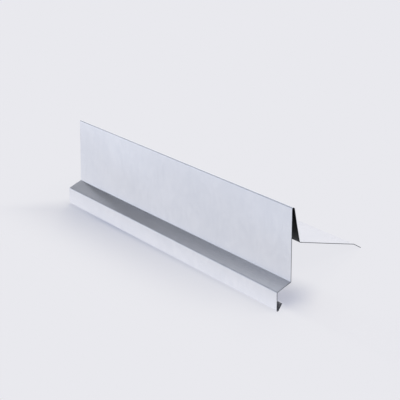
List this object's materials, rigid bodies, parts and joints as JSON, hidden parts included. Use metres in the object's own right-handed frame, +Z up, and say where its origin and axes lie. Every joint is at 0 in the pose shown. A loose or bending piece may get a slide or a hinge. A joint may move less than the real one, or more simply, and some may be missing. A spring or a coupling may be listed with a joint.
{
  "type": "verge flashing",
  "caption": "Folded sheet-metal verge flashing: hemmed drip foot, sloping drip step, tall fascia, raised top fold and a roof flange with a turned-down lip.",
  "frame": {"origin": "centre of the bounding box in plan, on the floor that the hem and the flange lip rest on", "axes": "+X along the length, +Y from the weather face towards the roof side, +Z up as the piece lies unheld"},
  "size_m": [0.5, 0.1186, 0.09],
  "materials": {
    "galvanised_steel": "satin"
  },
  "bodies": {
    "root": {"flashing_sheet": "galvanised_steel"}
  },
  "joints": []
}
